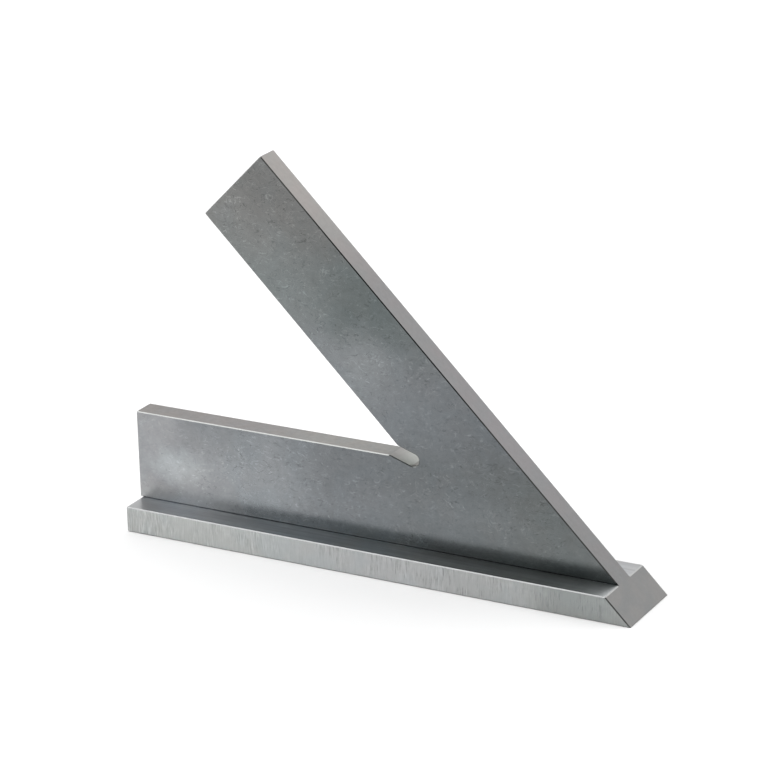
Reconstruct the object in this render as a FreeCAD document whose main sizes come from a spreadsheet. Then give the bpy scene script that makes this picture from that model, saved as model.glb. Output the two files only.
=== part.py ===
import FreeCAD, Part
import math
import os

import Sketcher

# Mitre square for 45 degrees: a V-shaped blade of ground steel flat, standing on a stop bar.
#
# The frame is millimetres with +Z up. The origin is on the stop's underside, in the middle of the
# square's length and thickness, +X runs along the stop to its mitred tip, and Y is the thickness of
# the blade. Every size comes from the dimensions sheet, and each sub-part is a body of this
# document whose label names its STEP file.

DRIVING_DIMENSIONS = (
    # alias, millimetres or degrees, what it is
    ("mitre_angle", 45.0, "angle between the two legs, and of the stop's mitred end"),
    ("leg_length", 120.0, "outer length of each leg of the blade"),
    ("leg_width", 20.8, "width of each leg"),
    ("blade_thickness", 5.8, "thickness of the blade"),
    ("stop_height", 6.0, "height of the stop bar"),
    ("stop_width", 19.5, "width of the stop bar"),
    ("heel_setback", 0.5, "how far the stop's square end stands back from the blade's"),
    ("relief_width", 3.0, "width of the relief slot in the inner corner"),
    ("relief_angle", 18.5, "how far the slot slopes down from the base leg's top"),
    ("relief_reach", 1.2, "from the inner corner along the slot to the centre of its round end"),
    ("relief_rise", 0.1, "how far the slot's middle line passes above the inner corner"),
    ("relief_mouth", 6.0, "from the inner corner back to the open end of the cutter's path"),
    ("edge_break", 0.2, "chamfer on the handled edges"),
    ("tip_break", 0.15, "chamfer on the acute tip of the stop"),
    ("screw_pitch", 42.0, "distance from one screw to the next"),
    ("screw_diameter", 3.0, "nominal diameter of the screws"),
    ("screw_length", 12.0, "overall length of a countersunk screw"),
    ("head_diameter", 6.0, "diameter of the screw head"),
    ("head_angle", 90.0, "angle of the countersunk head"),
    ("head_recess", 0.3, "depth of the head below the stop's underside"),
    ("screw_chamfer", 0.4, "chamfer on the point of the screws"),
    ("clearance_diameter", 3.4, "clearance hole for the screw in the stop"),
    ("socket_width", 2.0, "hexagon socket, across flats"),
    ("socket_depth", 1.1, "depth of the hexagon socket"),
    ("tap_depth", 8.0, "depth of the tapped holes in the blade"),
    ("dowel_pitch", 42.0, "distance between the two dowel pins"),
    ("dowel_diameter", 3.0, "diameter of the dowel pins"),
    ("dowel_length", 12.0, "length of the dowel pins"),
    ("dowel_recess", 0.2, "depth of the dowel's end below the stop's underside"),
    ("dowel_chamfer", 0.4, "chamfer on the ends of the dowel pins"),
    ("ream_depth", 7.5, "depth of the reamed holes in the blade"),
    ("drill_point", 118.0, "angle of the drill point left in the blind holes"),
)
SCREW_COUNT = 3
DOWEL_COUNT = 2
NEAR = 1e-4  # millimetres within which two places are the same

# Lengths that follow from the driving ones, as expressions on the sheet.
FULL_LENGTH = "(dimensions.leg_length + dimensions.stop_height / tan(dimensions.mitre_angle * 1deg))"
HEEL_X = f"(-{FULL_LENGTH} / 2)"
STOP_HEEL_X = f"({HEEL_X} + dimensions.heel_setback)"
TIP_X = f"({FULL_LENGTH} / 2)"
BLADE_TIP_X = f"({TIP_X} - dimensions.stop_height / tan(dimensions.mitre_angle * 1deg))"
BLADE_TOP_Z = "(dimensions.stop_height + dimensions.leg_width)"
INNER_CORNER_X = f"({BLADE_TIP_X} - dimensions.leg_width / tan(dimensions.mitre_angle * 1deg / 2))"
LEDGE_WIDTH = "((dimensions.stop_width - dimensions.blade_thickness) / 2)"

doc = FreeCAD.newDocument("mitre_square")


def fill_sheet():
    """The driving dimensions, one row each: name, value with its alias, note."""
    sheet = doc.addObject("Spreadsheet::Sheet", "dimensions")
    for row, (alias, value, note) in enumerate(DRIVING_DIMENSIONS, start=1):
        sheet.set(f"A{row}", alias)
        sheet.set(f"B{row}", str(value))
        sheet.setAlias(f"B{row}", alias)
        sheet.set(f"C{row}", note)
    doc.recompute()
    return sheet


sheet = fill_sheet()


def number(expression):
    """The plain number that an expression on the sheet gives."""
    value = sheet.evalExpression(expression)
    return float(getattr(value, "Value", value))


def new_body(label):
    body = doc.addObject("PartDesign::Body", label)
    body.Label = label
    body.Placement = FreeCAD.Placement()
    return body


def origin_feature(body, role):
    return next(feature for feature in body.Origin.OriginFeatures if feature.Role == role)


def new_sketch(body, name, role, offset=None):
    """A sketch on one of the body's own planes, moved along the plane's normal by an expression."""
    sketch = body.newObject("Sketcher::SketchObject", name)
    sketch.AttachmentSupport = [(origin_feature(body, role), "")]
    sketch.MapMode = "FlatFace"
    if offset:
        sketch.setExpression("AttachmentOffset.Base.z", offset)
    doc.recompute()
    return sketch


def drive(sketch, name, expression, kind, *places):
    """A dimension of the sketch that an expression on the sheet drives."""
    value = number(expression)
    if kind == "Angle":
        value = math.radians(value)
    index = sketch.addConstraint(Sketcher.Constraint(kind, *places, value))
    sketch.renameConstraint(index, name)
    sketch.setExpression(f"Constraints.{name}", expression)


def draw_outline(sketch, points):
    """A closed outline of straight lines: line i runs from point i to the next."""
    count = len(points)
    for i in range(count):
        start, end = points[i], points[(i + 1) % count]
        sketch.addGeometry(Part.LineSegment(FreeCAD.Vector(*start, 0), FreeCAD.Vector(*end, 0)))
    for i in range(count):
        sketch.addConstraint(Sketcher.Constraint("Coincident", i, 2, (i + 1) % count, 1))


def pin_point(sketch, line, end, x, y, name):
    """Holds one end of a line at two distances from the sketch's origin."""
    drive(sketch, f"{name}_x", x, "DistanceX", -1, 1, line, end)
    drive(sketch, f"{name}_y", y, "DistanceY", -1, 1, line, end)


def edges_where(feature, wanted):
    """Names of the feature's edges whose bounding box passes the test."""
    edges = enumerate(feature.Shape.Edges, start=1)
    return [f"Edge{i}" for i, edge in edges if wanted(edge.BoundBox)]


def same(a, b):
    return abs(a - b) < NEAR


def runs_across(box):
    """Whether an edge with this bounding box runs straight along Y."""
    return box.XLength < NEAR and box.ZLength < NEAR


def chamfer(body, name, base, edges, size):
    feature = body.newObject("PartDesign::Chamfer", name)
    feature.Base = (base, edges)
    feature.setExpression("Size", size)
    doc.recompute()
    return feature


def hole_row(body, name, count, pitch, plane_height=None):
    """A sketch with one circle for each hole of a row along X, centred on the origin."""
    sketch = new_sketch(body, name, "XY_Plane", plane_height)
    for i in range(count):
        place = f"({i} - {(count - 1) / 2}) * {pitch}"
        centre = FreeCAD.Vector(number(place), 0, 0)
        circle = sketch.addGeometry(Part.Circle(centre, FreeCAD.Vector(0, 0, 1), 1))
        sketch.addConstraint(Sketcher.Constraint("Radius", circle, 1))
        sketch.addConstraint(Sketcher.Constraint("PointOnObject", circle, 3, -1))
        if same(centre.x, 0):
            sketch.addConstraint(Sketcher.Constraint("PointOnObject", circle, 3, -2))
        else:
            drive(sketch, f"place_{i}", place, "DistanceX", -1, 1, circle, 3)
    doc.recompute()
    return sketch


def drill_up(body, name, sketch, diameter, depth=None):
    """Drills every circle of the sketch upwards, through the body or to a depth with a drill point."""
    hole = body.newObject("PartDesign::Hole", name)
    hole.Profile = sketch
    hole.Reversed = True
    hole.Threaded = False
    doc.recompute()
    hole.ThreadType = "None"
    hole.setExpression("Diameter", diameter)
    hole.DepthType = "Dimension" if depth else "ThroughAll"
    if depth:
        hole.setExpression("Depth", depth)
        hole.DrillPoint = "Angled"
        hole.setExpression("DrillPointAngle", "dimensions.drill_point")
    doc.recompute()
    return hole


def cut_volume(feature, base, name):
    """Stops the build where a cut took nothing away."""
    taken = base.Shape.Volume - feature.Shape.Volume
    if taken <= 0:
        raise RuntimeError(f"{name} cut nothing")
    return taken


# The blade


def blade_outline(body):
    """The V: heel, tip, the arm's outer and inner end, the inner corner and the base leg's top."""
    sketch = new_sketch(body, "blade_outline", "XZ_Plane")
    angle = math.radians(number("dimensions.mitre_angle"))
    length = number("dimensions.leg_length")
    width = number("dimensions.leg_width")
    floor = number("dimensions.stop_height")
    along = (-math.cos(angle), math.sin(angle))
    tip = (number(BLADE_TIP_X), floor)
    outer_end = (tip[0] + length * along[0], tip[1] + length * along[1])
    inner_end = (outer_end[0] - width * along[1], outer_end[1] + width * along[0])
    corner = (number(INNER_CORNER_X), number(BLADE_TOP_Z))
    heel = number(HEEL_X)
    draw_outline(sketch, [(heel, floor), tip, outer_end, inner_end, corner, (heel, corner[1])])
    bottom, outer, end, inner, top, back = range(6)
    sketch.addConstraint(Sketcher.Constraint("Horizontal", bottom))
    sketch.addConstraint(Sketcher.Constraint("Horizontal", top))
    sketch.addConstraint(Sketcher.Constraint("Vertical", back))
    sketch.addConstraint(Sketcher.Constraint("Perpendicular", outer, end))
    sketch.addConstraint(Sketcher.Constraint("Parallel", outer, inner))
    drive(sketch, "mitre_angle", "dimensions.mitre_angle * 1deg", "Angle", outer, 1, bottom, 2)
    drive(sketch, "base_leg_length", "dimensions.leg_length", "Distance", bottom)
    drive(sketch, "arm_length", "dimensions.leg_length", "Distance", outer)
    drive(sketch, "arm_width", "dimensions.leg_width", "Distance", end)
    drive(sketch, "base_leg_width", "dimensions.leg_width", "Distance", back)
    pin_point(sketch, bottom, 1, HEEL_X, "dimensions.stop_height", "heel")
    doc.recompute()
    return sketch


def relief_outline(body):
    """The cutter's path in the inner corner: a slot sloping down from the mouth to a round end."""
    sketch = new_sketch(body, "relief_outline", "XZ_Plane")
    slope = math.radians(number("dimensions.relief_angle"))
    radius = number("dimensions.relief_width") / 2
    reach = number("dimensions.relief_reach")
    length = reach + number("dimensions.relief_mouth")
    inwards = FreeCAD.Vector(math.cos(slope), -math.sin(slope), 0)
    across = FreeCAD.Vector(math.sin(slope), math.cos(slope), 0)
    corner = FreeCAD.Vector(number(INNER_CORNER_X), number(BLADE_TOP_Z), 0)
    centre = corner + inwards * reach + across * number("dimensions.relief_rise")
    upper, lower = centre + across * radius, centre - across * radius
    round_end = sketch.addGeometry(Part.Arc(lower, centre + inwards * radius, upper))
    top = sketch.addGeometry(Part.LineSegment(upper, upper - inwards * length))
    mouth = sketch.addGeometry(Part.LineSegment(upper - inwards * length, lower - inwards * length))
    bottom = sketch.addGeometry(Part.LineSegment(lower - inwards * length, lower))
    sketch.addConstraint(Sketcher.Constraint("Tangent", round_end, 2, top, 1))
    sketch.addConstraint(Sketcher.Constraint("Tangent", bottom, 2, round_end, 1))
    sketch.addConstraint(Sketcher.Constraint("Coincident", top, 2, mouth, 1))
    sketch.addConstraint(Sketcher.Constraint("Coincident", mouth, 2, bottom, 1))
    sketch.addConstraint(Sketcher.Constraint("Perpendicular", top, mouth))
    sketch.addConstraint(Sketcher.Constraint("Parallel", top, bottom))
    drive(sketch, "radius", "dimensions.relief_width / 2", "Radius", round_end)
    drive(sketch, "path", "dimensions.relief_reach + dimensions.relief_mouth", "Distance", top)
    drive(sketch, "slope", "180deg - dimensions.relief_angle * 1deg", "Angle", top)
    cosine, sine = "cos(dimensions.relief_angle * 1deg)", "sin(dimensions.relief_angle * 1deg)"
    centre_x = f"{INNER_CORNER_X} + dimensions.relief_reach * {cosine} + dimensions.relief_rise * {sine}"
    centre_z = f"{BLADE_TOP_Z} - dimensions.relief_reach * {sine} + dimensions.relief_rise * {cosine}"
    pin_point(sketch, round_end, 3, centre_x, centre_z, "centre")
    doc.recompute()
    return sketch


def blade_edges(feature):
    """The outlines of both flat sides and the square ends of the legs, but not the ground tip."""
    side = number("dimensions.blade_thickness / 2")
    heel = number(HEEL_X)
    high_up = 2 * number(BLADE_TOP_Z)

    def wanted(box):
        on_a_side = same(box.YMin, box.YMax) and same(abs(box.YMin), side)
        at_a_leg_end = same(box.XMin, heel) or box.ZMin > high_up
        return on_a_side or runs_across(box) and at_a_leg_end

    return edges_where(feature, wanted)


def make_blade():
    body = new_body("mitre_blade")
    plate = body.newObject("PartDesign::Pad", "blade_plate")
    plate.Profile = blade_outline(body)
    plate.Midplane = True
    plate.setExpression("Length", "dimensions.blade_thickness")
    doc.recompute()

    relief = body.newObject("PartDesign::Pocket", "corner_relief")
    relief.Profile = relief_outline(body)
    relief.Type = "ThroughAll"
    relief.Midplane = True
    doc.recompute()
    cut_volume(relief, plate, "the corner relief")

    broken = chamfer(body, "blade_edges", relief, blade_edges(relief), "dimensions.edge_break")

    taps = hole_row(body, "tap_places", SCREW_COUNT, "dimensions.screw_pitch", "dimensions.stop_height")
    tapped = drill_up(body, "tapped_holes", taps, "dimensions.screw_diameter", "dimensions.tap_depth")
    cut_volume(tapped, broken, "the tapped holes")

    reams = hole_row(body, "ream_places", DOWEL_COUNT, "dimensions.dowel_pitch", "dimensions.stop_height")
    reamed = drill_up(body, "reamed_holes", reams, "dimensions.dowel_diameter", "dimensions.ream_depth")
    cut_volume(reamed, tapped, "the reamed holes")
    return body


# The stop bar


def stop_outline(body):
    """The bar from the side: square at the heel, mitred at the tip."""
    sketch = new_sketch(body, "stop_outline", "XZ_Plane")
    heel, tip, shoulder = number(STOP_HEEL_X), number(TIP_X), number(BLADE_TIP_X)
    height = number("dimensions.stop_height")
    draw_outline(sketch, [(heel, 0), (tip, 0), (shoulder, height), (heel, height)])
    bottom, mitre, top, back = range(4)
    sketch.addConstraint(Sketcher.Constraint("Horizontal", bottom))
    sketch.addConstraint(Sketcher.Constraint("Horizontal", top))
    sketch.addConstraint(Sketcher.Constraint("Vertical", back))
    sketch.addConstraint(Sketcher.Constraint("PointOnObject", bottom, 1, -1))
    drive(sketch, "mitre_angle", "dimensions.mitre_angle * 1deg", "Angle", mitre, 1, bottom, 2)
    drive(sketch, "top_length", "dimensions.leg_length - dimensions.heel_setback", "Distance", top)
    drive(sketch, "height", "dimensions.stop_height", "Distance", back)
    drive(sketch, "heel_x", STOP_HEEL_X, "DistanceX", -1, 1, bottom, 1)
    doc.recompute()
    return sketch


def shoulder_outline(body):
    """A wedge over the blunt edge where the bar's top meets its mitre, as deep as the chamfer."""
    sketch = new_sketch(body, "shoulder_outline", "XZ_Plane", "dimensions.stop_width / 2")
    top = "dimensions.stop_height"
    bevel = "dimensions.edge_break"
    corners = {
        "on_top": (f"{BLADE_TIP_X} - {bevel}", top),
        "on_mitre": (
            f"{BLADE_TIP_X} + {bevel} * cos(dimensions.mitre_angle * 1deg)",
            f"{top} - {bevel} * sin(dimensions.mitre_angle * 1deg)",
        ),
        "outside": (f"{BLADE_TIP_X} + {bevel}", f"{top} + {bevel}"),
    }
    draw_outline(sketch, [(number(x), number(z)) for x, z in corners.values()])
    for line, (name, (x, z)) in enumerate(corners.items()):
        pin_point(sketch, line, 1, x, z, name)
    doc.recompute()
    return sketch


def stop_edges(feature):
    """Every edge of the bar but the two that run across its mitred end."""
    heel = number(STOP_HEEL_X)

    def wanted(box):
        return not runs_across(box) or same(box.XMin, heel)

    return edges_where(feature, wanted)


def tip_edge(feature):
    """The acute edge between the mitred end and the stop's underside."""
    tip = number(TIP_X)

    def wanted(box):
        return runs_across(box) and same(box.XMin, tip)

    return edges_where(feature, wanted)


def make_stop():
    body = new_body("stop_bar")
    bar = body.newObject("PartDesign::Pad", "stop_block")
    bar.Profile = stop_outline(body)
    bar.Midplane = True
    bar.setExpression("Length", "dimensions.stop_width")
    doc.recompute()

    handled = chamfer(body, "handled_edges", bar, stop_edges(bar), "dimensions.edge_break")
    tip = chamfer(body, "tip_edge", handled, tip_edge(handled), "dimensions.tip_break")

    shoulder = body.newObject("PartDesign::Pocket", "front_shoulder")
    shoulder.Profile = shoulder_outline(body)
    shoulder.setExpression("Length", LEDGE_WIDTH)
    doc.recompute()
    cut_volume(shoulder, tip, "the front shoulder")
    both = body.newObject("PartDesign::Mirrored", "back_shoulder")
    both.Originals = [shoulder]
    both.MirrorPlane = (origin_feature(body, "XZ_Plane"), [""])
    body.Tip = both
    doc.recompute()
    cut_volume(both, shoulder, "the back shoulder")

    places = hole_row(body, "screw_places", SCREW_COUNT, "dimensions.screw_pitch")
    sunk = drill_up(body, "screw_holes", places, "dimensions.clearance_diameter")
    sunk.HoleCutType = "Countersink"
    sunk.HoleCutCustomValues = True
    sunk.setExpression("HoleCutDiameter", "dimensions.head_diameter + 2 * dimensions.head_recess")
    sunk.setExpression("HoleCutCountersinkAngle", "dimensions.head_angle")
    doc.recompute()
    cut_volume(sunk, both, "the screw holes")

    places = hole_row(body, "dowel_places", DOWEL_COUNT, "dimensions.dowel_pitch")
    reamed = drill_up(body, "dowel_holes", places, "dimensions.dowel_diameter")
    cut_volume(reamed, sunk, "the dowel holes")
    return body


# The fasteners


def turned_profile(body, name, points, x):
    """Half of a turned piece: an outline of (radius, height) points that stands on its own axis."""
    sketch = new_sketch(body, name, "XZ_Plane")
    offset = number(x)
    draw_outline(sketch, [(offset + number(r), number(z)) for r, z in points])
    for i, (radius, height) in enumerate(points):
        pin_point(sketch, i, 1, f"{x} + {radius}", height, f"point_{i}")
    axis_line = len(points) - 1
    doc.recompute()
    return sketch, f"Edge{axis_line + 1}"


def turned_row(label, profile_name, points, count, pitch):
    """The first piece of a row of equal fasteners, turned, with the row's end place as its axis."""
    body = new_body(label)
    first = f"(-{(count - 1) / 2} * {pitch})"
    sketch, axis = turned_profile(body, profile_name, points, first)
    turned = body.newObject("PartDesign::Revolution", f"{label}_turned")
    turned.Profile = sketch
    turned.ReferenceAxis = (sketch, [axis])
    turned.Angle = 360
    doc.recompute()
    return body, turned, first


def repeat_along_x(body, features, count, pitch):
    """Repeats the features at equal steps along X."""
    pattern = body.newObject("PartDesign::LinearPattern", f"{body.Label}_row")
    pattern.Originals = features
    pattern.Direction = (origin_feature(body, "X_Axis"), [""])
    pattern.Occurrences = count
    pattern.setExpression("Length", f"{count - 1} * {pitch}")
    body.Tip = pattern
    doc.recompute()
    return pattern


def make_screws():
    """Countersunk screws with a hexagon socket, heads down, their points in the blade."""
    head = "dimensions.head_diameter / 2"
    shank = "dimensions.screw_diameter / 2"
    face = "dimensions.head_recess"
    neck = f"{face} + ({head} - {shank}) / tan(dimensions.head_angle * 1deg / 2)"
    point = f"{face} + dimensions.screw_length"
    bevel = "dimensions.screw_chamfer"
    points = [
        ("0", face),
        (head, face),
        (shank, neck),
        (shank, f"{point} - {bevel}"),
        (f"{shank} - {bevel}", point),
        ("0", point),
    ]
    pitch = "dimensions.screw_pitch"
    body, turned, first = turned_row("countersunk_screws", "screw_profile", points, SCREW_COUNT, pitch)

    sketch = new_sketch(body, "socket_outline", "XY_Plane", face)
    across_flats = number("dimensions.socket_width")
    centre = (number(first), 0)
    corner_radius = across_flats / math.sqrt(3)
    corners = []
    for i in range(6):
        turn = math.radians(60 * i)
        corners.append((centre[0] + corner_radius * math.cos(turn), corner_radius * math.sin(turn)))
    draw_outline(sketch, corners)
    ring = sketch.addGeometry(
        Part.Circle(FreeCAD.Vector(*centre, 0), FreeCAD.Vector(0, 0, 1), corner_radius), True
    )
    for i in range(6):
        sketch.addConstraint(Sketcher.Constraint("PointOnObject", i, 1, ring))
    for i in range(1, 6):
        sketch.addConstraint(Sketcher.Constraint("Equal", 0, i))
    sketch.addConstraint(Sketcher.Constraint("PointOnObject", 0, 1, -1))
    sketch.addConstraint(Sketcher.Constraint("PointOnObject", ring, 3, -1))
    drive(sketch, "socket_place", first, "DistanceX", -1, 1, ring, 3)
    drive(sketch, "corner_radius", "dimensions.socket_width / sqrt(3)", "Radius", ring)
    doc.recompute()

    socket = body.newObject("PartDesign::Pocket", "hexagon_socket")
    socket.Profile = sketch
    socket.Reversed = True
    socket.setExpression("Length", "dimensions.socket_depth")
    doc.recompute()
    cut_volume(socket, turned, "the hexagon socket")
    repeat_along_x(body, [turned, socket], SCREW_COUNT, pitch)
    return body


def make_dowels():
    """Plain dowel pins with a chamfer at each end, pressed up through the stop into the blade."""
    radius = "dimensions.dowel_diameter / 2"
    bevel = "dimensions.dowel_chamfer"
    low = "dimensions.dowel_recess"
    high = f"{low} + dimensions.dowel_length"
    points = [
        ("0", low),
        (f"{radius} - {bevel}", low),
        (radius, f"{low} + {bevel}"),
        (radius, f"{high} - {bevel}"),
        (f"{radius} - {bevel}", high),
        ("0", high),
    ]
    pitch = "dimensions.dowel_pitch"
    body, turned, _ = turned_row("dowel_pins", "dowel_profile", points, DOWEL_COUNT, pitch)
    repeat_along_x(body, [turned], DOWEL_COUNT, pitch)
    return body


def check_document():
    """Every object computed without an error."""
    for item in doc.Objects:
        if "Invalid" in item.State or "Error" in item.State:
            raise RuntimeError(f"{item.Label} is {item.State}")


def write_part(body, solid_count):
    shape = body.Shape
    if shape.isNull() or not shape.isValid() or len(shape.Solids) != solid_count:
        raise RuntimeError(f"{body.Label} is not {solid_count} valid solids")
    shape.exportStep(f"parts/{body.Label}.step")
    box = shape.BoundBox
    size = " x ".join(f"{length:.2f}" for length in (box.XLength, box.YLength, box.ZLength))
    print(f"{body.Label}: {solid_count} solid(s), {size} mm, {shape.Volume:.1f} mm3")


def main():
    bodies = [
        (make_blade(), 1),
        (make_stop(), 1),
        (make_screws(), SCREW_COUNT),
        (make_dowels(), DOWEL_COUNT),
    ]
    doc.recompute()
    check_document()
    os.makedirs("parts", exist_ok=True)
    for body, solid_count in bodies:
        write_part(body, solid_count)


main()
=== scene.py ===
import math

import bpy
from mathutils import Matrix, Vector

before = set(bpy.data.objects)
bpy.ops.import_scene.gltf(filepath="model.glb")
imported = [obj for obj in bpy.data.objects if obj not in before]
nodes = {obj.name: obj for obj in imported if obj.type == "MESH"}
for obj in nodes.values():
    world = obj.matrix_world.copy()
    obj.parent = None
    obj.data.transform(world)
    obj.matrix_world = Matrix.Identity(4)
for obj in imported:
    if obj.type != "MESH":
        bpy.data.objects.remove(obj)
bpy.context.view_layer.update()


def tone(red, green, blue):
    # 0 to 255 as seen on a screen, to the linear colour that a shader takes
    def linear(level):
        level = level / 255
        return level / 12.92 if level <= 0.04045 else ((level + 0.055) / 1.055) ** 2.4

    return (linear(red), linear(green), linear(blue), 1.0)


# small helpers for node trees


def plug(tree, socket, value):
    # value is another node's output, or what the socket is set to
    if isinstance(value, bpy.types.NodeSocket):
        tree.links.new(value, socket)
    else:
        socket.default_value = value


def put(tree, kind, inputs=None, **settings):
    # a new node; its inputs go by name or by number
    node = tree.nodes.new(kind)
    for name, value in settings.items():
        setattr(node, name, value)
    for name, value in (inputs or {}).items():
        plug(tree, node.inputs[name], value)
    return node


def calc(tree, operation, first, second=0.0, clamp=False):
    inputs = {0: first, 1: second}
    return put(tree, "ShaderNodeMath", inputs, operation=operation, use_clamp=clamp).outputs[0]


def vectorCalc(tree, operation, first, second=(0, 0, 0)):
    # a length or a dot product comes out as a value, all else as a vector
    node = put(tree, "ShaderNodeVectorMath", {0: first, 1: second}, operation=operation)
    return node.outputs["Value" if operation in ("LENGTH", "DOT_PRODUCT") else "Vector"]


def split(tree, vector):
    return put(tree, "ShaderNodeSeparateXYZ", {0: vector}).outputs


def join(tree, x, y, z):
    return put(tree, "ShaderNodeCombineXYZ", {0: x, 1: y, 2: z}).outputs[0]


def ramp(tree, value, low, high, toLow=0.0, toHigh=1.0):
    # soft step from toLow to toHigh while value goes from low to high
    inputs = {"Value": value, "From Min": low, "From Max": high, "To Min": toLow, "To Max": toHigh}
    return put(tree, "ShaderNodeMapRange", inputs, interpolation_type="SMOOTHSTEP").outputs[0]


def blendColour(tree, factor, first, second, how="MIX"):
    # a Mix node has its colours in sockets 6 and 7 and their mixture in output 2
    inputs = {0: factor, 6: first, 7: second}
    return put(tree, "ShaderNodeMix", inputs, data_type="RGBA", blend_type=how).outputs[2]


def blendValue(tree, factor, first, second):
    return put(tree, "ShaderNodeMix", {0: factor, 2: first, 3: second}).outputs[0]


def tint(tree, colour, red, green, blue):
    return blendColour(tree, 1.0, colour, (red, green, blue, 1.0), "MULTIPLY")


def scaled(tree, vector, level):
    inputs = {0: vector, "Scale": level}
    return put(tree, "ShaderNodeVectorMath", inputs, operation="SCALE").outputs[0]


def shade(tree, colour, value, strength):
    # lightens or darkens colour by up to strength as value swings about 0.5
    swing = calc(tree, "MULTIPLY", calc(tree, "SUBTRACT", value, 0.5), 2.0 * strength)
    return scaled(tree, colour, calc(tree, "ADD", swing, 1.0))


def noise(tree, vector, size, detail=3.0, roughness=0.55, distortion=0.0):
    # size is that of one cloud or grain, in metres
    scale = calc(tree, "DIVIDE", 1.0, size)
    inputs = {"Vector": vector, "Scale": scale, "Detail": detail, "Roughness": roughness}
    inputs["Distortion"] = distortion
    return put(tree, "ShaderNodeTexNoise", inputs).outputs[0]


def wander(tree, here, size, reach):
    # the place, pushed about by up to reach, so that what is laid on it has no straight edge
    field = put(tree, "ShaderNodeTexNoise", {"Vector": here, "Scale": 1 / size, "Detail": 3.0})
    centred = vectorCalc(tree, "SUBTRACT", field.outputs["Color"], (0.5, 0.5, 0.5))
    return vectorCalc(tree, "ADD", here, scaled(tree, centred, 2 * reach))


def toneRun(tree, place, stops):
    # tones along a length: each stop is a place in metres and the colour there
    first, last = stops[0][0], stops[-1][0]
    share = put(tree, "ShaderNodeMapRange", {"Value": place, "From Min": first, "From Max": last})
    node = put(tree, "ShaderNodeValToRGB", {0: share.outputs[0]})
    node.color_ramp.interpolation = "EASE"
    elements = node.color_ramp.elements
    elements[0].color, elements[1].color = stops[0][1], stops[-1][1]
    for at, colour in stops[1:-1]:
        elements.new((at - first) / (last - first)).color = colour
    return node.outputs[0]


def dab(tree, place, colour, spot):
    # a soft-edged spot of another tone, full at its middle and gone at its reach
    offset = vectorCalc(tree, "SUBTRACT", place, spot["at"])
    shaped = vectorCalc(tree, "MULTIPLY", offset, spot.get("squash", (1, 1, 1)))
    inSpot = ramp(tree, vectorCalc(tree, "LENGTH", shaped), 0.0, spot["reach"], 1.0, 0.0)
    return blendColour(tree, inSpot, colour, spot["tone"])


def newGroup(name, inputs, outputs):
    tree = bpy.data.node_groups.new(name, "ShaderNodeTree")
    for label, kind in inputs.items():
        tree.interface.new_socket(name=label, in_out="INPUT", socket_type="NodeSocket" + kind)
    for label, kind in outputs.items():
        tree.interface.new_socket(name=label, in_out="OUTPUT", socket_type="NodeSocket" + kind)
    return tree, put(tree, "NodeGroupInput").outputs, put(tree, "NodeGroupOutput").inputs


def useGroup(tree, group, **inputs):
    return put(tree, "ShaderNodeGroup", inputs, node_tree=group).outputs


# effects that the steels share. Here and below, two or four numbers in brackets are a ramp's: its
# start and end, then its levels there

toneEffect = {
    "cloud": {"detail": 4.0, "roughness": 0.5, "distortion": 0.6},
    "drift": (0.36, 0.64),
    "mottle": {"detail": 5.0, "roughness": 0.65},
}


def makeSteelTone(effect):
    # cloudy drift between two tones of ground steel, with a finer mottle on top
    inputs = {"Vector": "Vector", "Cool": "Color", "Warm": "Color"}
    inputs.update({"Cloud": "Float", "Mottle": "Float", "Depth": "Float"})
    tree, given, result = newGroup("steelTone", inputs, {"Color": "Color", "Value": "Float"})
    cloud = noise(tree, given["Vector"], given["Cloud"], **effect["cloud"])
    drift = ramp(tree, cloud, *effect["drift"])
    colour = blendColour(tree, drift, given["Cool"], given["Warm"])
    mottle = noise(tree, given["Vector"], given["Mottle"], **effect["mottle"])
    swing = calc(tree, "MULTIPLY", calc(tree, "SUBTRACT", mottle, 0.5), given["Depth"])
    plug(tree, result["Color"], scaled(tree, colour, calc(tree, "ADD", swing, 1.0)))
    plug(tree, result["Value"], mottle)
    return tree


lineEffect = {
    "roughness": 0.6,
    "fine": {"detail": 3.0, "share": 0.7},
    "bundle": {"detail": 2.0, "share": 0.3, "runs": 2.0},  # a bundle is so many times as long
    "contrast": (0.3, 0.7),
}


def makeGrindLines(effect):
    # grinding lines that run along the vector's Z: fine scratches in bundles, uneven in depth
    inputs = {"Vector": "Vector", "Fine": "Float", "Bundle": "Float", "Run": "Float"}
    tree, given, result = newGroup("grindLines", inputs, {"Value": "Float"})
    parts = split(tree, given["Vector"])

    def streaks(width, run, look):
        across = calc(tree, "DIVIDE", parts[0], width)
        side = calc(tree, "DIVIDE", parts[1], width)
        along = calc(tree, "DIVIDE", parts[2], run)
        place = join(tree, across, side, along)
        field = noise(tree, place, 1.0, look["detail"], effect["roughness"])
        return calc(tree, "MULTIPLY", field, look["share"])

    fine = streaks(given["Fine"], given["Run"], effect["fine"])
    longRun = calc(tree, "MULTIPLY", given["Run"], effect["bundle"]["runs"])
    bundle = streaks(given["Bundle"], longRun, effect["bundle"])
    both = calc(tree, "ADD", fine, bundle)
    plug(tree, result["Value"], ramp(tree, both, *effect["contrast"]))
    return tree


markEffect = {
    "drawnOut": (0.7, 1.0, 1.25),  # strokes are longer along X than along Z
    "curl": 1.6,
    "lightShift": (0.0, 0.0, 0.0),
    "darkShift": (0.83, 0.29, 0.61),
    "breaks": {"shift": (0.37, 0.11, 0.53), "size": 0.7, "gap": (0.42, 0.57)},
    "pits": {"perSize": 1.4, "edge": (0.05, 0.16, 1.0, 0.0), "picked": (0.82, 0.86)},
}


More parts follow.
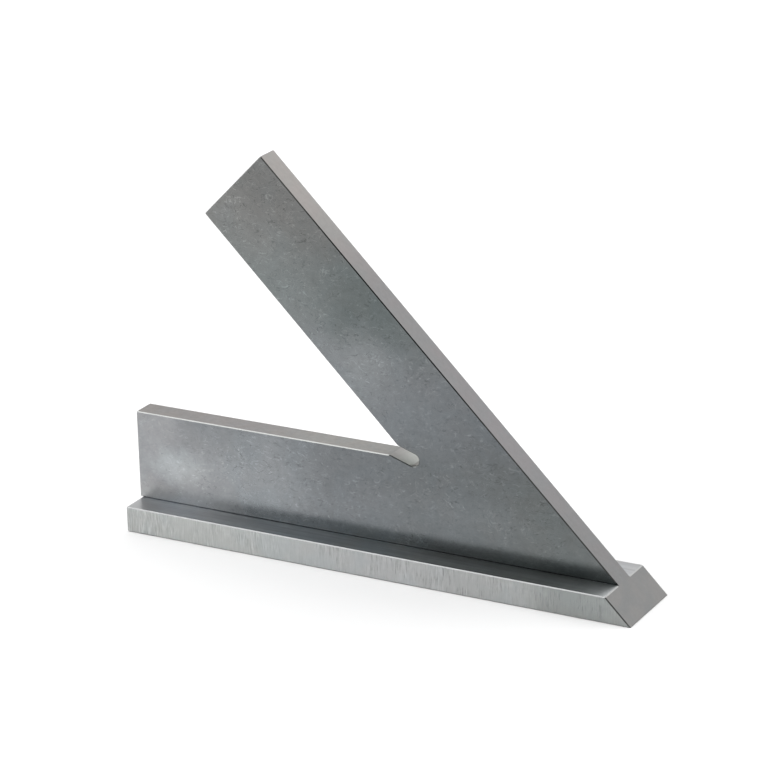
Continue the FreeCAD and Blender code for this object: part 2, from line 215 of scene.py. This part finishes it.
def makeHandlingMarks(effect):
    # short curved strokes that use leaves in the ground face, light ones and dark ones, and pits
    inputs = {"Vector": "Vector", "Size": "Float", "Width": "Float"}
    outputs = {"Light": "Float", "Dark": "Float", "Pit": "Float"}
    tree, given, result = newGroup("handlingMarks", inputs, outputs)
    breaks, pits = effect["breaks"], effect["pits"]

    def strokes(shift):
        drawnOut = vectorCalc(tree, "MULTIPLY", given["Vector"], effect["drawnOut"])
        place = vectorCalc(tree, "ADD", drawnOut, shift)
        field = noise(tree, place, given["Size"], 1.0, 0.5, effect["curl"])
        fromLine = calc(tree, "ABSOLUTE", calc(tree, "SUBTRACT", field, 0.5))
        line = ramp(tree, fromLine, 0.0, given["Width"], 1.0, 0.0)
        other = vectorCalc(tree, "ADD", place, breaks["shift"])
        gapSize = calc(tree, "MULTIPLY", given["Size"], breaks["size"])
        gaps = noise(tree, other, gapSize, detail=1.0)
        return calc(tree, "MULTIPLY", line, ramp(tree, gaps, *breaks["gap"]))

    plug(tree, result["Light"], strokes(effect["lightShift"]))
    plug(tree, result["Dark"], strokes(effect["darkShift"]))
    scale = calc(tree, "DIVIDE", pits["perSize"], given["Size"])
    cell = put(tree, "ShaderNodeTexVoronoi", {"Vector": given["Vector"], "Scale": scale}).outputs
    dot = ramp(tree, cell["Distance"], *pits["edge"])
    pick = put(tree, "ShaderNodeSeparateColor", {0: cell["Color"]}).outputs[0]
    plug(tree, result["Pit"], calc(tree, "MULTIPLY", dot, ramp(tree, pick, *pits["picked"])))
    return tree


# how far a face has to turn: side and tilted go by its normal's Y, level and low by its Z
faceEffect = {"side": (0.86, 0.96), "tilted": (0.3, 0.5), "level": (0.96, 0.99), "low": (0.8, 0.88)}


def makeFaceSorter(effect):
    # which way a face looks, from its own normal: flat side, top or bottom, the broken long
    # edges, and the low bevel where a ledge runs out
    outputs = {"Side": "Float", "Level": "Float", "Break": "Float", "Shoulder": "Float"}
    tree, given, result = newGroup("faceSorter", {"Normal": "Vector"}, outputs)
    parts = split(tree, given["Normal"])
    through = calc(tree, "ABSOLUTE", parts[1])
    upright = calc(tree, "ABSOLUTE", parts[2])
    side = ramp(tree, through, *effect["side"])
    level = ramp(tree, upright, *effect["level"])
    tilted = ramp(tree, through, *effect["tilted"])
    low = ramp(tree, upright, *effect["low"])
    plug(tree, result["Side"], side)
    plug(tree, result["Level"], level)
    plug(tree, result["Break"], calc(tree, "SUBTRACT", tilted, side, clamp=True))
    plug(tree, result["Shoulder"], calc(tree, "SUBTRACT", low, level, clamp=True))
    return tree


steelTone = makeSteelTone(toneEffect)
grindLines = makeGrindLines(lineEffect)
handlingMarks = makeHandlingMarks(markEffect)
faceSorter = makeFaceSorter(faceEffect)
print("shared effects done")


def newSteel(name):
    material = bpy.data.materials.new(name)
    material.use_nodes = True
    tree = material.node_tree
    tree.nodes.clear()
    shader = put(tree, "ShaderNodeBsdfPrincipled", {"Metallic": 1.0})
    put(tree, "ShaderNodeOutputMaterial", {"Surface": shader.outputs[0]})
    place = put(tree, "ShaderNodeTexCoord").outputs
    return material, tree, shader.inputs, place


def finishSurface(tree, sockets, colour, roughness, height, depth):
    # depth is how far the relief stands out, in metres
    tree.links.new(colour, sockets["Base Color"])
    tree.links.new(roughness, sockets["Roughness"])
    relief = put(tree, "ShaderNodeBump", {"Height": height, "Distance": depth, "Strength": 1.0})
    tree.links.new(relief.outputs[0], sockets["Normal"])


def clouded(tree, here, cool, warm, grain):
    # steel between two tones; grain has the sizes of its clouds and mottle, and the mottle's depth
    sizes = {"Cloud": grain["cloud"], "Mottle": grain["mottle"], "Depth": grain["depth"]}
    return useGroup(tree, steelTone, Vector=here, Cool=cool, Warm=warm, **sizes)


def cloudedRound(tree, here, plain, grain):
    # the same round one plain tone, between a cool and a warm tint of it
    cool, warm = tint(tree, plain, *grain["cool"]), tint(tree, plain, *grain["warm"])
    return clouded(tree, here, cool, warm, grain)


def groundLines(tree, place, look):
    sizes = {"Fine": look["fine"], "Bundle": look["bundle"], "Run": look["run"]}
    return useGroup(tree, grindLines, Vector=place, **sizes)["Value"]


# the blade: ground flat and worn dull, lighter at the heel, its edges ground along their length

bladeFinish = {
    # along the base leg, from the heel to the tip, each tone at its x
    "legRun": (
        (-0.063, tone(155, 156, 158)),
        (-0.030, tone(147, 151, 154)),
        (-0.009, tone(124, 128, 131)),
        (0.012, tone(118, 122, 124)),
        (0.045, tone(109, 113, 113)),
    ),
    # along the arm, from the inner corner to its end, each tone at its z
    "armRun": (
        (0.027, tone(117, 121, 124)),
        (0.042, tone(126, 130, 133)),
        (0.062, tone(122, 127, 127)),
        (0.080, tone(128, 129, 128)),
    ),
    "legToArm": (0.024, 0.036),  # the z over which the leg's tones give way to the arm's
    "drift": {"size": 0.012, "reach": 0.006},
    # painted shade: how much light is left towards the base leg's top, but for the heel, and from
    # the arm's outer face inwards
    "legPaintedShade": {"upward": (0.011, 0.026, 1.0, 0.82), "fromHeel": (-0.058, -0.046)},
    "armPaintedShade": (0.0, 0.029, 0.75, 0.96),
    "outerPlane": 0.063,  # the arm's outer face is where x and z add up to this
    "armShade": {"tone": tone(98, 104, 104), "at": (-0.002, -0.0029, 0.061), "reach": 0.018},
    "armPale": {"tone": tone(131, 135, 137), "at": (-0.004, -0.0029, 0.046), "reach": 0.012},
    # the patch that is rubbed pale at the heel, and how ragged its edge is
    "heelPale": {
        "tone": tone(174, 178, 180),
        "at": (-0.0521, -0.0029, 0.0152),
        "reach": 0.0074,
        "squash": (0.65, 1, 1.25),
    },
    "heelRagged": {"size": 0.004, "reach": 0.003},
    # along the blade's foot: painted reflection of the ledge with painted shade, pale at the heel
    # and dark towards the tip, each tone at its x
    "footReflectionRun": (
        (-0.063, tone(165, 167, 168)),
        (-0.049, tone(174, 177, 179)),
        (-0.031, tone(134, 138, 140)),
        (0.002, tone(110, 114, 115)),
        (0.016, tone(90, 94, 95)),
        (0.032, tone(96, 101, 101)),
        (0.050, tone(66, 71, 71)),
    ),
    "foot": (0.0058, 0.0108, 1.0, 0.0),  # the z over which it fades
    "footRagged": {"size": 0.003, "reach": 0.0006},
    "side": {
        "cool": (0.99, 1.0, 1.005),
        "warm": (1.01, 1.0, 0.995),
        "cloud": 0.008,
        "mottle": 0.0011,
        "depth": 0.34,
    },
    "blotch": {"size": 0.0045, "strength": 0.11, "roughness": 0.6, "distortion": 0.8},
    "strokes": {"size": 0.0021, "width": 0.026, "light": 0.17, "dark": 0.13},
    "pits": {"share": 0.25, "tone": tone(84, 88, 88)},
    # where the blade has been handled: in clouds, more past the heel by x and high up by z
    "used": {
        "size": 0.009,
        "clouds": (0.36, 0.6, 0.5, 1.0),
        "fromHeel": (-0.056, -0.036, 0.65, 1.25),
        "highUp": (0.066, 0.080, 0.0, 0.4),
    },
    # along the base leg's top, from the heel to the slot, each tone at its x
    "topRun": (
        (-0.063, tone(140, 137, 136)),
        (-0.036, tone(142, 139, 139)),
        (-0.012, tone(148, 147, 145)),
    ),
    "top": {
        "cool": (0.985, 1.0, 1.0),
        "warm": (1.015, 1.0, 0.98),
        "cloud": 0.004,
        "mottle": 0.0012,
        "depth": 0.45,
    },
    # along the arm's outer face, from the stop to the arm's end, each tone at its z
    "outerRun": (
        (0.006, tone(143, 143, 143)),
        (0.035, tone(150, 149, 150)),
        (0.062, tone(151, 150, 150)),
        (0.085, tone(171, 168, 165)),
    ),
    "outer": {
        "cool": (0.99, 1.0, 1.005),
        "warm": (1.02, 0.995, 1.0),
        "cloud": 0.006,
        "mottle": 0.0011,
        "depth": 0.3,
    },
    # the slot: below the arm by z, between its mouth and its end by x
    "slot": {
        "belowArm": (0.030, 0.032, 1.0, 0.0),
        "mouth": (0.0018, 0.0022),
        "end": (0.012, 0.013, 1.0, 0.0),
        "roundEnd": (0.0077, 0.0083),
        # rim and endRim are painted shade on the slot's broken edges, darkest along its straight
        # lower rim
        "rim": tone(59, 61, 60),
        "endRim": tone(86, 88, 87),
    },
    # along the slot's wall, from its mouth to its round end, each tone at its x
    "slotRun": (
        (0.0015, tone(166, 163, 161)),
        (0.007, tone(182, 184, 180)),
    ),
    # slotEnd is painted shade in the slot's round end
    "slotEnd": {"tone": tone(36, 37, 36), "at": (0.0083, -0.0027, 0.0250), "reach": 0.0018},
    "breakTone": tone(137, 138, 137),
    # along the arm's outer edge the break is painted dark, a painted reflection, each tone at its z
    "outerBreakRun": (
        (0.030, tone(137, 138, 137)),
        (0.048, tone(71, 72, 72)),
        (0.072, tone(60, 61, 61)),
        (0.084, tone(139, 140, 139)),
    ),
    "outerBreak": (0.0620, 0.0626),  # that edge, by x and z added up
    "footBreak": (0.0063, 0.0066),  # the edge at the foot ends at this z
    "footBreakLeft": 0.78,  # how much of the foot's tone is left on it
    "breakMottle": 0.2,
    "sideRoughness": 0.17,
    "heelRoughness": 0.3,
    "heelToSide": (-0.055, -0.02, 1.0, 0.0),  # the x over which the heel's roughness fades
    "edgeRoughness": 0.42,
    "breakRoughness": 0.3,
    "roughnessSwing": 0.1,
    "strokeDepth": 0.15,
    "relief": 0.000004,
}


def bladeSideTone(tree, here, finish):
    # the large tones of the flat sides, with painted shade towards the leg's top and over the arm's
    # outer part, and a painted reflection of the ledge along the foot
    loose = wander(tree, here, **finish["drift"])
    at = split(tree, loose)
    # painted shade towards the leg's top and the arm's outer face
    legShading = finish["legPaintedShade"]
    legLight = ramp(tree, at[2], *legShading["upward"])
    legLight = blendValue(tree, ramp(tree, at[0], *legShading["fromHeel"]), 1.0, legLight)
    leg = scaled(tree, toneRun(tree, at[0], finish["legRun"]), legLight)
    fromOuter = calc(tree, "SUBTRACT", finish["outerPlane"], calc(tree, "ADD", at[0], at[2]))
    armLight = ramp(tree, fromOuter, *finish["armPaintedShade"])
    arm = scaled(tree, toneRun(tree, at[2], finish["armRun"]), armLight)
    colour = blendColour(tree, ramp(tree, at[2], *finish["legToArm"]), leg, arm)
    colour = dab(tree, loose, colour, finish["armShade"])
    colour = dab(tree, loose, colour, finish["armPale"])
    colour = dab(tree, wander(tree, here, **finish["heelRagged"]), colour, finish["heelPale"])
    # painted reflection of the ledge, with painted shade, along the blade's foot
    low = split(tree, wander(tree, here, **finish["footRagged"]))
    atFoot = ramp(tree, low[2], *finish["foot"])
    return blendColour(tree, atFoot, colour, toneRun(tree, low[0], finish["footReflectionRun"]))


def wornSide(tree, here, at, colour, marks, finish):
    # blotches, light rubs, dark scrapes and pits on top of them
    blotch, used = finish["blotch"], finish["used"]
    roughness, distortion = blotch["roughness"], blotch["distortion"]
    cloud = noise(tree, here, blotch["size"], roughness=roughness, distortion=distortion)
    colour = shade(tree, colour, cloud, blotch["strength"])
    share = ramp(tree, noise(tree, here, used["size"], detail=2.0), *used["clouds"])
    share = calc(tree, "MULTIPLY", share, ramp(tree, at[0], *used["fromHeel"]))
    share = calc(tree, "ADD", share, ramp(tree, at[2], *used["highUp"]))
    rub = calc(tree, "MULTIPLY", marks["Light"], finish["strokes"]["light"])
    scrape = calc(tree, "MULTIPLY", marks["Dark"], finish["strokes"]["dark"])
    worn = calc(tree, "MULTIPLY", calc(tree, "SUBTRACT", rub, scrape), share)
    colour = shade(tree, colour, calc(tree, "ADD", 0.5, worn), 1.0)
    pitted = calc(tree, "MULTIPLY", marks["Pit"], finish["pits"]["share"])
    return blendColour(tree, pitted, colour, finish["pits"]["tone"])


def slotMask(tree, at, slot):
    # 1 on the slot's wall and rim
    low = ramp(tree, at[2], *slot["belowArm"])
    past = calc(tree, "MULTIPLY", ramp(tree, at[0], *slot["mouth"]), low)
    return calc(tree, "MULTIPLY", past, ramp(tree, at[0], *slot["end"]))


def bladeEdges(tree, here, at, faces, inSlot, finish):
    # the narrow faces: the base leg's top, the arm's outer face and the slot's wall
    top = cloudedRound(tree, here, toneRun(tree, at[0], finish["topRun"]), finish["top"])
    plain = toneRun(tree, at[2], finish["outerRun"])
    plain = blendColour(tree, inSlot, plain, toneRun(tree, at[0], finish["slotRun"]))
    outer = cloudedRound(tree, here, plain, finish["outer"])
    edge = blendColour(tree, faces["Level"], outer["Color"], top["Color"])
    # painted shade in the slot's round end
    return dab(tree, here, edge, finish["slotEnd"])


def bladeBreaks(tree, at, inSlot, finish):
    # the broken edges: painted dark reflection along the arm's outer edge, painted shade in the
    # slot, and at the foot the foot's painted reflection
    slot, left = finish["slot"], finish["footBreakLeft"]
    # painted dark reflection along the arm's outer edge
    onOuter = ramp(tree, calc(tree, "ADD", at[0], at[2]), *finish["outerBreak"])
    outer = toneRun(tree, at[2], finish["outerBreakRun"])
    broken = blendColour(tree, onOuter, finish["breakTone"], outer)
    # painted shade on the slot's rim
    rim = blendColour(tree, ramp(tree, at[0], *slot["roundEnd"]), slot["rim"], slot["endRim"])
    broken = blendColour(tree, inSlot, broken, rim)
    # the break at the foot takes the foot's painted reflection tones, darkened by footBreakLeft
    foot = tint(tree, toneRun(tree, at[0], finish["footReflectionRun"]), left, left, left)
    return blendColour(tree, ramp(tree, at[2], *finish["footBreak"]), foot, broken)


def makeBladeSteel(finish):
    material, tree, sockets, place = newSteel("groundBladeSteel")
    here = place["Object"]
    at = split(tree, here)
    faces = useGroup(tree, faceSorter, Normal=place["Normal"])
    side = cloudedRound(tree, here, bladeSideTone(tree, here, finish), finish["side"])
    size, width = finish["strokes"]["size"], finish["strokes"]["width"]
    marks = useGroup(tree, handlingMarks, Vector=here, Size=size, Width=width)
    flat = wornSide(tree, here, at, side["Color"], marks, finish)
    inSlot = slotMask(tree, at, finish["slot"])
    edges = bladeEdges(tree, here, at, faces, inSlot, finish)
    colour = blendColour(tree, faces["Side"], edges, flat)
    broken = bladeBreaks(tree, at, inSlot, finish)
    broken = shade(tree, broken, side["Value"], finish["breakMottle"])
    colour = blendColour(tree, faces["Break"], colour, broken)

    atHeel = ramp(tree, at[0], *finish["heelToSide"])
    gloss = blendValue(tree, atHeel, finish["sideRoughness"], finish["heelRoughness"])
    roughness = blendValue(tree, faces["Side"], finish["edgeRoughness"], gloss)
    swing = calc(tree, "MULTIPLY", side["Value"], finish["roughnessSwing"])
    roughness = calc(tree, "ADD", roughness, swing)
    roughness = blendValue(tree, faces["Break"], roughness, finish["breakRoughness"])
    scratched = calc(tree, "MULTIPLY", marks["Light"], finish["strokeDepth"])
    height = calc(tree, "SUBTRACT", side["Value"], scratched)
    finishSurface(tree, sockets, colour, roughness, height, finish["relief"])
    return material


# the stop bar: ground across its length at the front and back, along it on top

stopFinish = {
    # along the front and back, from the heel to the tip, each tone at its x
    "frontRun": (
        (-0.063, tone(180, 182, 181)),
        (-0.046, tone(185, 188, 187)),
        (0.006, tone(181, 183, 184)),
        (0.036, tone(173, 175, 175)),
        (0.046, tone(155, 158, 157)),
    ),
    "drift": {"size": 0.01, "reach": 0.005},
    "front": {
        "cool": (0.985, 1.0, 1.005),
        "warm": (1.01, 1.0, 0.99),
        "cloud": 0.009,
        "mottle": 0.0014,
        "depth": 0.18,
    },
    # the lines across it, in clusters, fainter along the bar by x
    "lines": {
        "fine": 0.00025,
        "bundle": 0.0005,
        "run": 0.0034,
        "waver": {"size": 0.005, "reach": 0.0004},
        "clusterSize": 0.0062,
        "cluster": (0.44, 0.6, 0.26, 1.0),
        "fromHeel": (-0.045, 0.015, 0.9, 0.6),
        "nearTip": (0.038, 0.050, 1.0, 0.5),
        "light": 0.74,
        "dark": 0.72,
        "strength": 0.34,
    },
    # the deepest of them show as dark ticks, more of them towards the tip by x
    "ticks": {"deep": (0.06, 0.22, 1.0, 0.0), "along": (-0.03, 0.02, 0.0, 0.3)},
    # along the top, from the heel to the tip, each tone at its x
    "topRun": (
        (-0.063, tone(173, 175, 178)),
        (-0.050, tone(176, 179, 183)),
        (-0.036, tone(166, 170, 174)),
        (0.0, tone(172, 176, 178)),
        (0.063, tone(172, 177, 178)),
    ),
    "top": {
        "cool": (0.97, 1.0, 1.02),
        "warm": (1.02, 1.0, 0.98),
        "cloud": 0.014,
        "mottle": 0.002,
        "depth": 0.18,
    },
    "topLines": {"fine": 0.0007, "bundle": 0.002, "run": 0.018, "strength": 0.15},
    "backTop": {"across": (0.0, 0.003), "tint": (1.34, 1.25, 1.25)},  # painted light on the ledge behind the blade, by y
    # painted shade in the corner between the ledge and the blade, by x and by y
    "cornerShade": {"along": (0.0, 0.035, 0.0, 0.3), "across": (-0.0085, -0.0032)},
    # painted reflection: lighter patches on the ledge at the heel and at the tip
    "heelTop": {"tone": tone(165, 166, 167), "at": (-0.0605, -0.0085, 0.006), "reach": 0.009},
    "tipTop": {"tone": tone(217, 221, 222), "at": (0.0575, -0.0095, 0.006), "reach": 0.019},
    "end": {
        "tones": (tone(141, 142, 142), tone(146, 145, 144)),
        "cloud": 0.006,
        "mottle": 0.001,
        "depth": 0.2,
    },
    "shoulderTone": tone(187, 188, 187),
    "shoulderMottle": 0.12,
    "breakTone": tone(134, 135, 135),
    # painted light on the broken edges at the floor
    "floorBreakTone": tone(176, 177, 176),
    "floorBreak": (0.0008, 0.0012, 1.0, 0.0),  # the edges at the floor end at this z
    "breakMottle": 0.3,
    "frontRoughness": 0.43,
    "topRoughness": 0.3,
    "endRoughness": 0.42,
    "breakRoughness": 0.3,
    "roughnessSwing": 0.06,
    "relief": 0.000006,
}


def crossLines(tree, here, at, finish):
    # the lines on the front and back, 0.5 where there is none
    look, ticks = finish["lines"], finish["ticks"]
    lines = groundLines(tree, wander(tree, here, **look["waver"]), look)
    cluster = ramp(tree, noise(tree, here, look["clusterSize"]), *look["cluster"])
    swing = calc(tree, "MULTIPLY", calc(tree, "SUBTRACT", lines, 0.5), cluster)
    swing = calc(tree, "MULTIPLY", swing, ramp(tree, at[0], *look["fromHeel"]))
    swing = calc(tree, "MULTIPLY", swing, ramp(tree, at[0], *look["nearTip"]))
    light = calc(tree, "MULTIPLY", calc(tree, "MAXIMUM", swing, 0.0), look["light"])
    dark = calc(tree, "MULTIPLY", calc(tree, "MINIMUM", swing, 0.0), look["dark"])
    deep = calc(tree, "MULTIPLY", ramp(tree, lines, *ticks["deep"]), cluster)
    tick = calc(tree, "MULTIPLY", deep, ramp(tree, at[0], *ticks["along"]))
    swing = calc(tree, "SUBTRACT", calc(tree, "ADD", light, dark), tick)
    return calc(tree, "ADD", swing, 0.5)


def stopTopTone(tree, here, at, top, finish):
    # lines along the bar, painted light on the ledge behind the blade, painted shade in the corner
    # by the blade, painted reflection lighter at the ends
    look, back, corner = finish["topLines"], finish["backTop"], finish["cornerShade"]
    lines = groundLines(tree, join(tree, at[1], at[2], at[0]), look)
    colour = shade(tree, top, lines, look["strength"])
    # painted light: the ledge behind the blade is tinted lighter
    behind = ramp(tree, at[1], *back["across"])
    colour = blendColour(tree, behind, colour, tint(tree, colour, *back["tint"]))
    # painted shade in the corner between the ledge and the blade
    nearTip, nearBlade = ramp(tree, at[0], *corner["along"]), ramp(tree, at[1], *corner["across"])
    cornerShadeLeft = calc(tree, "SUBTRACT", 1.0, calc(tree, "MULTIPLY", nearTip, nearBlade))
    colour = scaled(tree, colour, cornerShadeLeft)
    # painted reflection lighter on the ledge at the heel and at the tip
    colour = dab(tree, here, colour, finish["heelTop"])
    return dab(tree, here, colour, finish["tipTop"])


def makeStopSteel(finish):
    material, tree, sockets, place = newSteel("crossGroundStopSteel")
    here = place["Object"]
    at = split(tree, here)
    faces = useGroup(tree, faceSorter, Normal=place["Normal"])
    along = split(tree, wander(tree, here, **finish["drift"]))[0]
    front = cloudedRound(tree, here, toneRun(tree, along, finish["frontRun"]), finish["front"])
    lines = crossLines(tree, here, at, finish)
    frontColour = shade(tree, front["Color"], lines, finish["lines"]["strength"])
    top = cloudedRound(tree, here, toneRun(tree, along, finish["topRun"]), finish["top"])
    topColour = stopTopTone(tree, here, at, top["Color"], finish)
    end = clouded(tree, here, *finish["end"]["tones"], finish["end"])
    colour = blendColour(tree, faces["Level"], end["Color"], topColour)
    plainShoulder = finish["shoulderTone"][:3]
    shoulder = shade(tree, plainShoulder, front["Value"], finish["shoulderMottle"])
    colour = blendColour(tree, faces["Shoulder"], colour, shoulder)
    colour = blendColour(tree, faces["Side"], colour, frontColour)
    # painted light on the broken edges along the floor
    atFloor = ramp(tree, at[2], *finish["floorBreak"])
    broken = blendColour(tree, atFloor, finish["breakTone"], finish["floorBreakTone"])
    broken = shade(tree, broken, front["Value"], finish["breakMottle"])
    colour = blendColour(tree, faces["Break"], colour, broken)

    roughness = blendValue(tree, faces["Level"], finish["endRoughness"], finish["topRoughness"])
    roughness = blendValue(tree, faces["Side"], roughness, finish["frontRoughness"])
    roughness = blendValue(tree, faces["Break"], roughness, finish["breakRoughness"])
    swing = calc(tree, "MULTIPLY", top["Value"], finish["roughnessSwing"])
    roughness = calc(tree, "ADD", roughness, swing)
    height = blendValue(tree, faces["Side"], front["Value"], lines)
    finishSurface(tree, sockets, colour, roughness, height, finish["relief"])
    return material


# the fasteners: seen from below only

screwFinish = {
    "black": tone(52, 52, 54),
    "worn": tone(112, 110, 108),
    "grain": {"cloud": 0.0022, "mottle": 0.0005, "depth": 0.3},
    "roughness": 0.42,
    "roughnessSwing": 0.15,
    "relief": 0.00001,
}

dowelFinish = {
    "cool": tone(176, 178, 180),
    "warm": tone(186, 184, 180),
    "grain": {"cloud": 0.002, "mottle": 0.0004, "depth": 0.12},
    "roughness": 0.28,
    "roughnessSwing": 0.1,
    "relief": 0.000004,
}


def makeFastenerSteel(name, first, second, finish):
    material, tree, sockets, place = newSteel(name)
    steel = clouded(tree, place["Object"], first, second, finish["grain"])
    swing = calc(tree, "MULTIPLY", steel["Value"], finish["roughnessSwing"])
    roughness = calc(tree, "ADD", swing, finish["roughness"])
    finishSurface(tree, sockets, steel["Color"], roughness, steel["Value"], finish["relief"])
    return material


def makeScrewSteel(finish):
    return makeFastenerSteel("blackenedScrewSteel", finish["black"], finish["worn"], finish)


def makeDowelSteel(finish):
    return makeFastenerSteel("groundDowelSteel", finish["cool"], finish["warm"], finish)


def dress(node, material):
    # the one finish goes in every slot of the node
    slots = nodes[node].material_slots
    if not slots:
        nodes[node].data.materials.append(material)
    for slot in slots:
        slot.material = material
    print("dressed", node)


dress("mitre_blade", makeBladeSteel(bladeFinish))
dress("stop_bar", makeStopSteel(stopFinish))
dress("countersunk_screws", makeScrewSteel(screwFinish))
dress("dowel_pins", makeDowelSteel(dowelFinish))

# the floor and the studio round it

floorFinish = {"side": 8.0, "tone": tone(250, 250, 250), "roughness": 0.9, "specular": 0.1}


def makeFloor(finish):
    bpy.ops.object.select_all(action="DESELECT")
    bpy.ops.mesh.primitive_plane_add(size=finish["side"], location=(0, 0, 0))
    floor = bpy.context.object
    floor.name = "pale_floor"
    material = bpy.data.materials.new("paleFloor")
    material.use_nodes = True
    tree = material.node_tree
    tree.nodes.clear()
    inputs = {"Base Color": finish["tone"], "Roughness": finish["roughness"]}
    inputs["Specular IOR Level"] = finish["specular"]
    shader = put(tree, "ShaderNodeBsdfPrincipled", inputs)
    put(tree, "ShaderNodeOutputMaterial", {"Surface": shader.outputs[0]})
    floor.data.materials.append(material)


makeFloor(floorFinish)
print("floor done")

# the soft boxes are patches of the world: where each one is, the angles from its middle, in
# degrees, up to which it is full and past which it is gone, and its level
studio = {
    "room": 0.12,
    "overhead": {"towards": (-0.62, -0.22, 0.76), "full": 16, "none": 32, "level": 2.6},
    "left": {"towards": (-0.9, -0.38, 0.2), "full": 20, "none": 48, "level": 1.2},
    "behind": {"towards": (0.05, 0.85, 0.5), "full": 38, "none": 78, "level": 0.97},
    "above": {"towards": (-0.1, -0.25, 0.96), "full": 10, "none": 28, "level": 1.8},
}


def makeStudio(light):
    world = bpy.data.worlds.new("studio")
    bpy.context.scene.world = world
    world.use_nodes = True
    tree = world.node_tree
    tree.nodes.clear()
    direction = put(tree, "ShaderNodeTexCoord").outputs["Generated"]
    total = light["room"]
    for name in ("overhead", "left", "behind", "above"):
        box = light[name]
        towards = tuple(Vector(box["towards"]).normalized())
        near = vectorCalc(tree, "DOT_PRODUCT", direction, towards)
        none, full = (math.cos(math.radians(box[edge])) for edge in ("none", "full"))
        total = calc(tree, "ADD", total, ramp(tree, near, none, full, 0.0, box["level"]))
    background = put(tree, "ShaderNodeBackground", {"Color": (1, 1, 1, 1), "Strength": total})
    put(tree, "ShaderNodeOutputWorld", {"Surface": background.outputs[0]})


makeStudio(studio)
print("studio done")

# the camera: turned to the right of the blade, looking down on it through a long lens
cameraView = {
    "azimuth": 28.677,
    "elevation": 19.954,
    "roll": -1.291,
    "target": (0.0111039, -0.0181989, 0.0481763),
    "distance": 0.69264,
    "lens": 151.573,
    "sensor": 36.0,
    "clip": (0.01, 20.0),
}


def placeCamera(view):
    data = bpy.data.cameras.new("camera")
    camera = bpy.data.objects.new("camera", data)
    bpy.context.scene.collection.objects.link(camera)
    azimuth, elevation = math.radians(view["azimuth"]), math.radians(view["elevation"])
    flat = math.cos(elevation)
    back = Vector((math.sin(azimuth) * flat, -math.cos(azimuth) * flat, math.sin(elevation)))
    roll = Matrix.Rotation(math.radians(view["roll"]), 3, "Z").to_quaternion()
    camera.rotation_mode = "QUATERNION"
    camera.rotation_quaternion = (-back).to_track_quat("-Z", "Y") @ roll
    camera.location = Vector(view["target"]) + back * view["distance"]
    data.lens = view["lens"]
    data.sensor_width = view["sensor"]
    data.clip_start, data.clip_end = view["clip"]
    bpy.context.scene.camera = camera


placeCamera(cameraView)
bpy.context.scene.view_settings.view_transform = "Standard"
print("camera done")
